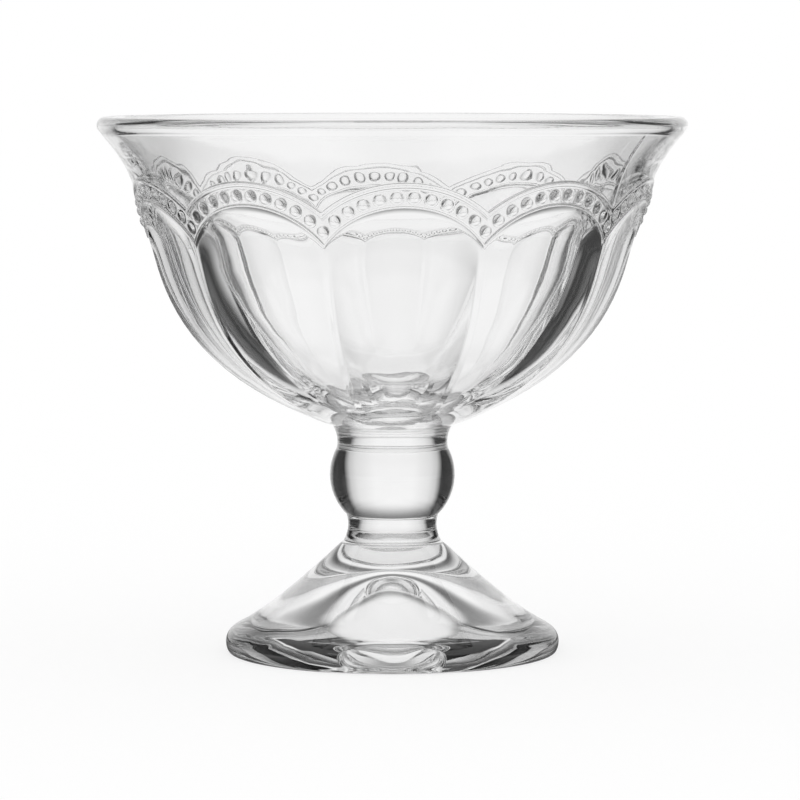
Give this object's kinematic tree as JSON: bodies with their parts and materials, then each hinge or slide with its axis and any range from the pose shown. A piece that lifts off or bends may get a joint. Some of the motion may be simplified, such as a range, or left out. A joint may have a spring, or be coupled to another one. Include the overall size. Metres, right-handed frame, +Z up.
{
  "type": "dessert glass",
  "caption": "Clear pressed-glass footed dessert coupe with a fluted bowl, beaded scallop band, flared rim, ball-knop stem and spreading foot.",
  "frame": {"origin": "centre of the foot's resting plane, on the axis of the stem", "axes": "+Z up along the axis of the stem, -Y towards the middle of one flute"},
  "size_m": [0.12, 0.12, 0.1093],
  "materials": {
    "clear_glass": "gloss"
  },
  "bodies": {
    "root": {"bowl": "clear_glass", "bowl_collar": "clear_glass", "stem_knop": "clear_glass", "stem_neck": "clear_glass", "foot": "clear_glass"}
  },
  "joints": []
}
